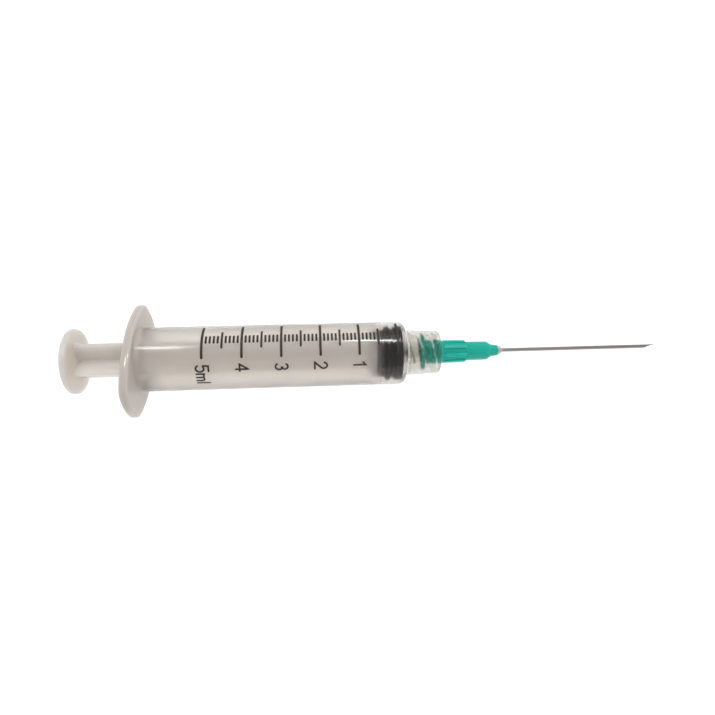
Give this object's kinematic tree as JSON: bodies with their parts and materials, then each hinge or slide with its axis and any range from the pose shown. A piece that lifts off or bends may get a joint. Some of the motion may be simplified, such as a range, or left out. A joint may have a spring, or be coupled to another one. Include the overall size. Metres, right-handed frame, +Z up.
{
  "type": "hypodermic syringe",
  "caption": "Single-use syringe with a graduated barrel, sliding plunger, rubber stopper and a screwed-on needle.",
  "frame": {"origin": "on the syringe's axis, in the plane of the finger flange's front face, where the tube begins", "axes": "+X along the axis towards the needle point, Y along the flange's long way, +Z up when the syringe lies on its flange's long edge"},
  "size_m": [0.1319, 0.0256, 0.0162],
  "materials": {
    "barrel_plastic": "translucent natural polypropylene, smooth and glossy",
    "scale_ink": "printed ink, satin",
    "rod_plastic": "translucent natural polypropylene, satin",
    "stopper_rubber": "black rubber, siliconed satin",
    "hub_plastic": "tinted green polypropylene, slightly translucent",
    "needle_steel": "drawn stainless steel tube",
    "needle_adhesive": "cured clear adhesive, milky"
  },
  "bodies": {
    "barrel": {"barrel": "barrel_plastic", "scale_print": "scale_ink"},
    "stopper": {"stopper": "stopper_rubber"},
    "plunger": {"plunger_rod": "rod_plastic"},
    "needle_bead": {"needle_adhesive": "needle_adhesive"},
    "needle": {"needle_hub": "hub_plastic", "needle_cannula": "needle_steel"}
  },
  "joints": [
    {"name": "plunger_slide", "type": "slide", "parent": "barrel", "child": "stopper", "axis": [-1, 0, 0], "range_m": [0, 0.0515]},
    {"name": "rod_spin", "type": "hinge", "parent": "stopper", "child": "plunger", "pos_m": [0.05, 0, 0], "axis": [1, 0, 0], "continuous": true},
    {"name": "needle_draw", "type": "slide", "parent": "barrel", "child": "needle_bead", "axis": [1, 0, 0], "range_m": [0, 0.0044]},
    {"name": "needle_twist", "type": "hinge", "parent": "needle_bead", "child": "needle", "pos_m": [0.07, 0, 0], "axis": [1, 0, 0], "range_deg": [0, 323]}
  ],
  "couplings": [
    {"joint": "needle_twist", "follows": "needle_draw", "rad_per_m": 1256.6}
  ]
}
